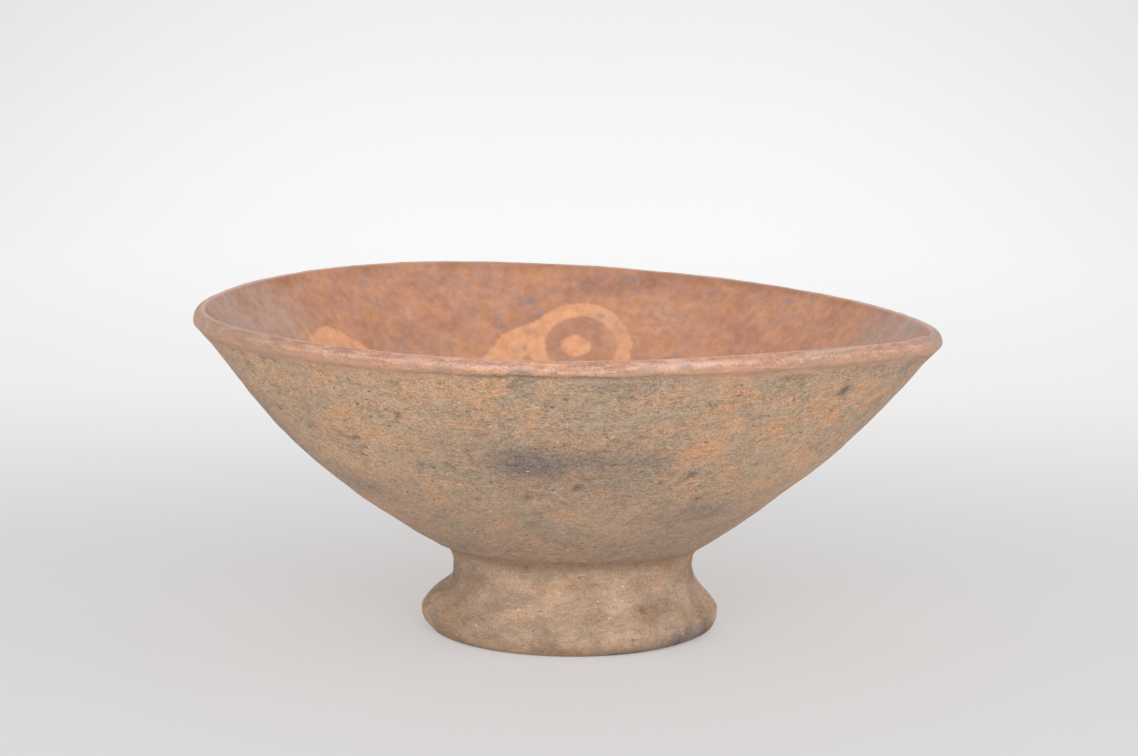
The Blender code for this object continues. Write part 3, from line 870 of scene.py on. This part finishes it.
# %% Put the material together
def fired_clay():
    material = bpy.data.materials.new("slipped_and_painted_clay")
    material.use_nodes = True
    tree = material.node_tree
    tree.nodes.clear()
    place = add(tree, "TexCoord").outputs["Object"]
    gap = marked(tree, "from_crest")
    clay, clay_height = bare_clay(tree, place, gap)
    slip, slip_height = slip_and_paint(tree, place, gap)
    lip, lip_height = lip_slip(tree, place, gap)

    ragged = cloudy(tree, moved(tree, place, (0.4, 0.9, 0.1), (1, 1, 1.3)), 0.0046, 4.0, 0.65)
    edge = maths(tree, "ADD", gap, times(tree, maths(tree, "SUBTRACT", ragged[0], 0.5), 0.0034))
    smear = times(tree, marked(tree, "reddened"), 0.0040)
    grooved = marked(tree, "grooved")
    fade = soft_step(tree, grooved, 0.2, 0.8, LIP_EDGE + 0.0024, LIP_EDGE + 0.0010)
    bare = soft_step(tree, maths(tree, "SUBTRACT", edge, smear), LIP_EDGE - 0.0003, fade)
    inside_share = soft_step(tree, gap, -0.0004, -0.0016)
    # Painted shade: a darker brown line in the groove under the lip, in front only.
    groove_shade = times(tree, near(tree, edge, THIN_PLACE, 0.0013), soft_step(tree, ragged[1], 0.34, 0.54))
    groove_shade = times(tree, groove_shade, grooved)
    thin = times(tree, near(tree, edge, THIN_PLACE, 0.0030), maths(tree, "SUBTRACT", 1.0, grooved))
    skin = mixed(tree, inside_share, lip, slip)
    skin = mixed(tree, bare, skin, clay)
    skin = mixed(tree, times(tree, thin, 0.65), skin, THIN_SLIP)
    skin = mixed(tree, times(tree, groove_shade, 0.6), skin, GROOVE_SHADE)

    height = between(tree, bare, between(tree, inside_share, lip_height, slip_height), clay_height)
    bump = add(tree, "Bump", {"Height": height, "Distance": 0.001, "Strength": 1.0})
    roughness = between(tree, bare, between(tree, inside_share, 0.46, 0.58), 0.80)
    surface = add(tree, "BsdfPrincipled", {"Base Color": skin, "Roughness": roughness,
                                           "Normal": bump.outputs[0], "IOR": 1.45})
    output = tree.nodes.new("ShaderNodeOutputMaterial")
    tree.links.new(surface.outputs[0], output.inputs["Surface"])
    print("material nodes:", len(tree.nodes))
    return material


bowl.data.materials.append(fired_clay())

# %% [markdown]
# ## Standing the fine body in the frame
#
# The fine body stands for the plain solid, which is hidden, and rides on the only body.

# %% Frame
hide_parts("pedestal_bowl")
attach(bowl, "root")

# %% [markdown]
# ## Floor and light
#
# The bowl stands on a pale sweep: a level sheet that curves up far behind it, without a line
# between floor and wall. The back edge of a plane is spun up through a quarter turn and then
# drawn straight up. The sheet has a little painted glow of its own, as if it were paper lit from
# behind in a light tent; it glows most behind the bowl, so there is hardly a shadow. The other
# light is as soft: a bright surround, a wide panel above and in front, and a weak panel at each side.

# %% Sweep
SWEEP_HALF_WIDTH = 3.0
SWEEP_FRONT = -3.0
SWEEP_BEND = 1.0              # where the sheet starts to rise, far enough to look from behind the bowl
SWEEP_RADIUS = 0.8
SWEEP_TOP = 1.6
SWEEP_TONE = 0.45
# The sheet's painted glow: an even part, and more of it behind the bowl.
SWEEP_GLOW = 0.330
GLOW_MORE = 0.305             # added where the sheet is brightest, behind the bowl
NEAR_RISE = (0.02, 0.50, 0.0, 0.6)     # metres back where a share of the rise starts and ends
FAR_RISE = (0.20, 1.10, 0.0, 0.4)
SIDE_FADE = (0.10, 1.00, 1.0, 0.0)     # metres aside
UP_FADE = (-0.02, 0.20, 1.0, 0.66)     # metres up the sheet

bpy.ops.object.select_all(action="DESELECT")
bpy.ops.mesh.primitive_plane_add(size=2.0)
sweep = bpy.context.object
sweep.name = "pale_sweep"
bpy.ops.object.mode_set(mode="EDIT")
bpy.ops.mesh.select_all(action="SELECT")
depth = SWEEP_BEND - SWEEP_FRONT
bpy.ops.transform.resize(value=(SWEEP_HALF_WIDTH, depth / 2, 1.0))
bpy.ops.transform.translate(value=(0, SWEEP_FRONT + depth / 2, 0))
bpy.ops.object.mode_set(mode="OBJECT")
for edge in sweep.data.edges:
    ends = [sweep.data.vertices[i].co.y for i in edge.vertices]
    edge.select = min(ends) > SWEEP_BEND - 0.001
for vertex in sweep.data.vertices:
    vertex.select = vertex.co.y > SWEEP_BEND - 0.001
for face in sweep.data.polygons:
    face.select = False
bpy.ops.object.mode_set(mode="EDIT")
bpy.ops.mesh.spin(steps=24, angle=math.pi / 2, center=(0, SWEEP_BEND, SWEEP_RADIUS), axis=(-1, 0, 0))
bpy.ops.mesh.extrude_region_move(TRANSFORM_OT_translate={"value": (0, 0, SWEEP_TOP)})
bpy.ops.object.mode_set(mode="OBJECT")
bpy.ops.object.shade_smooth()
paper = bpy.data.materials.new("pale_paper")
paper.use_nodes = True
paper_shader = paper.node_tree.nodes["Principled BSDF"]
paper_shader.inputs["Base Color"].default_value = (SWEEP_TONE, SWEEP_TONE * 0.995, SWEEP_TONE, 1.0)
paper_shader.inputs["Roughness"].default_value = 0.9
# Painted glow: the paper gives off light of its own, though it is no lamp.
paper_shader.inputs["Emission Color"].default_value = (1.0, 0.99, 1.0, 1.0)
tree = paper.node_tree
across, back, up = add(tree, "SeparateXYZ", {0: add(tree, "TexCoord").outputs["Object"]}).outputs
more = maths(tree, "ADD", soft_step(tree, back, *NEAR_RISE), soft_step(tree, back, *FAR_RISE))
more = times(tree, more, soft_step(tree, maths(tree, "ABSOLUTE", across), *SIDE_FADE))
more = times(tree, more, soft_step(tree, up, *UP_FADE))
glow = maths(tree, "ADD", times(tree, more, GLOW_MORE), SWEEP_GLOW)
tree.links.new(glow, paper_shader.inputs["Emission Strength"])
sweep.data.materials.append(paper)
reach = [round(max(v.co[i] for v in sweep.data.vertices), 2) for i in range(3)]
print("sweep reaches to", reach)

# %% Light
SURROUND = 0.43
LIGHT_AIM = (0, 0, 0.06)
PANELS = (("front_panel", (0, -1.70, 0.80), (3.0, 0.8), 24.5),       # place, size, watts
          ("left_panel", (-1.35, -0.35, 0.60), (0.9, 0.9), 2.6),
          ("right_panel", (1.35, -0.35, 0.60), (0.9, 0.9), 4.2))


def light_panel(name, place, size, watts):
    bpy.ops.object.light_add(type="AREA", location=place, rotation=look_at(place, LIGHT_AIM))
    panel = bpy.context.object
    panel.name = name
    panel.data.shape = "RECTANGLE"
    panel.data.size, panel.data.size_y = size
    panel.data.energy = watts


world = bpy.data.worlds.new("soft_surround")
world.use_nodes = True
world.node_tree.nodes["Background"].inputs["Color"].default_value = (1.0, 1.0, 1.0, 1.0)
world.node_tree.nodes["Background"].inputs["Strength"].default_value = SURROUND
bpy.context.scene.world = world
for panel in PANELS:
    light_panel(*panel)
bpy.context.scene.view_settings.view_transform = "Standard"
